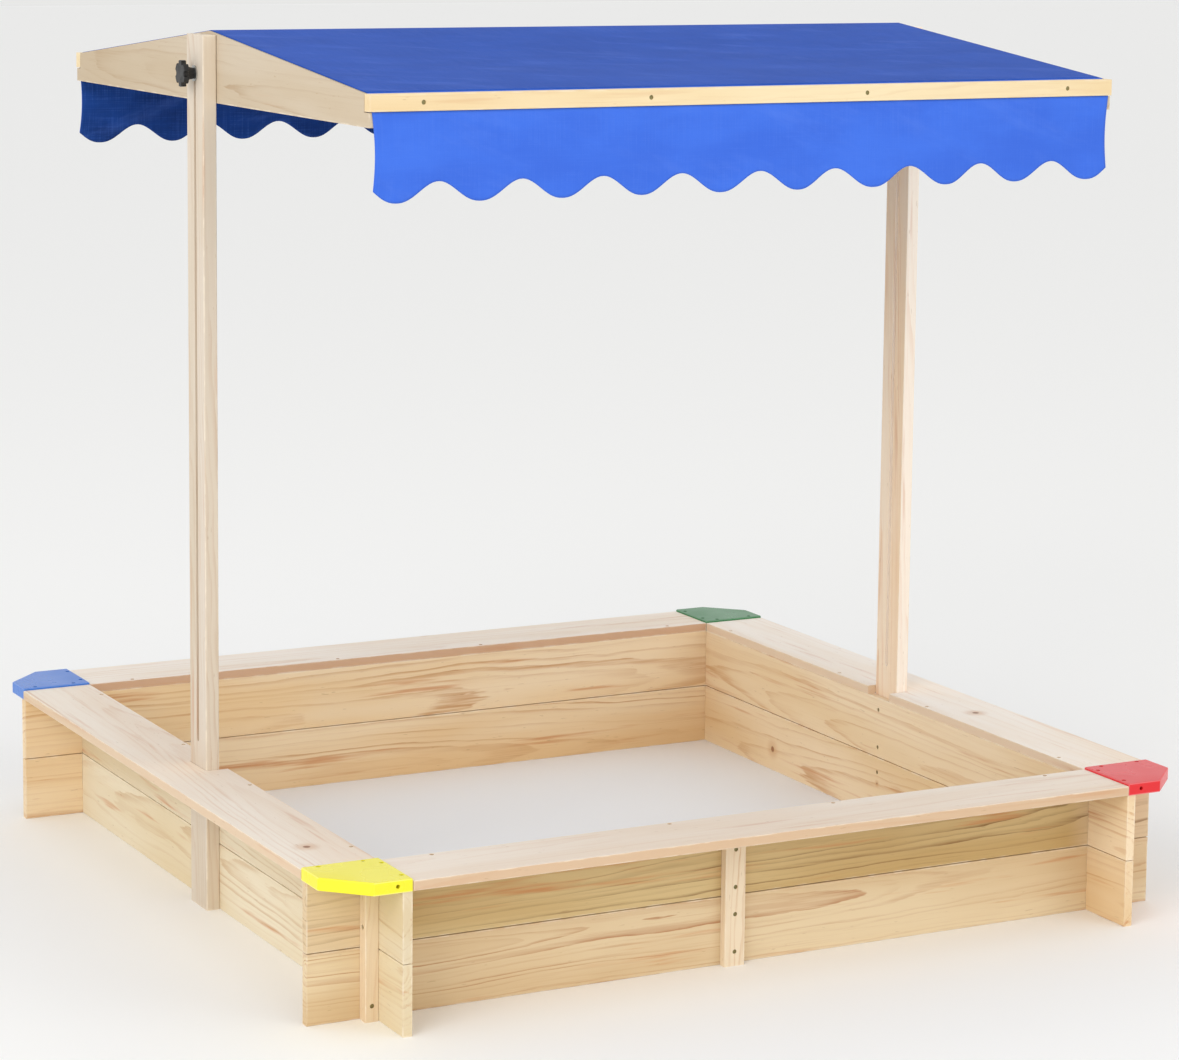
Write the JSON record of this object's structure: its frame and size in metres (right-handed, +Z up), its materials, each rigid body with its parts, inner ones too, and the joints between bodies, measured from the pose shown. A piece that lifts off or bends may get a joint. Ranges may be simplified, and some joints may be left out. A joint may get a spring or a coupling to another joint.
{
  "type": "sandbox with cover",
  "caption": "Square timber sandbox with boards crossed at the corners, seat boards, painted corner pieces and a height-adjustable tilting fabric canopy on two posts.",
  "frame": {"origin": "middle of the box's footprint, on the ground that the wall boards stand on", "axes": "+Z up, +X along the front wall towards the red corner piece, +Y from the front wall towards the back wall"},
  "size_m": [1.184, 1.184, 1.1171],
  "materials": {
    "pine_walls": "planed, unpainted",
    "pine_seats": "planed, unpainted",
    "pine_battens": "planed, unpainted",
    "pine_posts": "planed, unpainted",
    "pine_canopy_frame": "planed, unpainted",
    "beech_dowels": "turned",
    "yellow_paint": "gloss yellow paint on wood",
    "red_paint": "gloss red paint on wood",
    "green_paint": "gloss green paint on wood",
    "blue_paint": "gloss blue paint on wood",
    "blue_canopy_cloth": "woven polyester",
    "black_knob_plastic": "moulded black",
    "zinc_steel": "zinc plated",
    "screw_steel": "dull zinc"
  },
  "bodies": {
    "sandbox": {"back_centre_batten": "pine_battens", "back_left_batten": "pine_battens", "back_right_batten": "pine_battens", "back_seat": "pine_seats", "back_wall_lower": "pine_walls", "back_wall_upper": "pine_walls", "blue_corner_piece": "blue_paint", "centre_batten_screws": "screw_steel", "corner_batten_screws": "screw_steel", "corner_piece_screws": "screw_steel", "front_centre_batten": "pine_battens", "front_left_batten": "pine_battens", "front_right_batten": "pine_battens", "front_seat": "pine_seats", "front_wall_lower": "pine_walls", "front_wall_upper": "pine_walls", "green_corner_piece": "green_paint", "left_post": "pine_posts", "left_seat": "pine_seats", "left_wall_lower": "pine_walls", "left_wall_upper": "pine_walls", "post_screws": "screw_steel", "red_corner_piece": "red_paint", "right_post": "pine_posts", "right_seat": "pine_seats", "right_wall_lower": "pine_walls", "right_wall_upper": "pine_walls", "seat_screws": "screw_steel", "yellow_corner_piece": "yellow_paint"},
    "canopy_slider": {"left_bolt": "zinc_steel", "right_bolt": "zinc_steel", "left_washer": "zinc_steel", "right_washer": "zinc_steel"},
    "canopy": {"left_gable": "pine_canopy_frame", "right_gable": "pine_canopy_frame", "front_rail": "pine_canopy_frame", "back_rail": "pine_canopy_frame", "front_eave_beam": "pine_canopy_frame", "back_eave_beam": "pine_canopy_frame", "ridge_beam": "pine_canopy_frame", "frame_dowels": "beech_dowels", "canopy_fabric": "blue_canopy_cloth", "rail_screws": "screw_steel"},
    "left_knob_turner": {"left_knob": "black_knob_plastic", "left_knob_insert": "zinc_steel"},
    "right_knob_turner": {"right_knob": "black_knob_plastic", "right_knob_insert": "zinc_steel"}
  },
  "joints": [
    {"name": "canopy_height", "type": "slide", "parent": "sandbox", "child": "canopy_slider", "axis": [0, 0, 1], "range_m": [-0.5, 0]},
    {"name": "canopy_tilt", "type": "hinge", "parent": "canopy_slider", "child": "canopy", "pos_m": [0, 0, 1.064], "axis": [1, 0, 0], "range_deg": [-30, 30]},
    {"name": "left_knob_turn", "type": "hinge", "parent": "canopy_slider", "child": "left_knob_turner", "pos_m": [-0.54, 0, 1.064], "axis": [-1, 0, 0], "range_deg": [0, 720]},
    {"name": "right_knob_turn", "type": "hinge", "parent": "canopy_slider", "child": "right_knob_turner", "pos_m": [0.54, 0, 1.064], "axis": [1, 0, 0], "range_deg": [0, 720]}
  ]
}
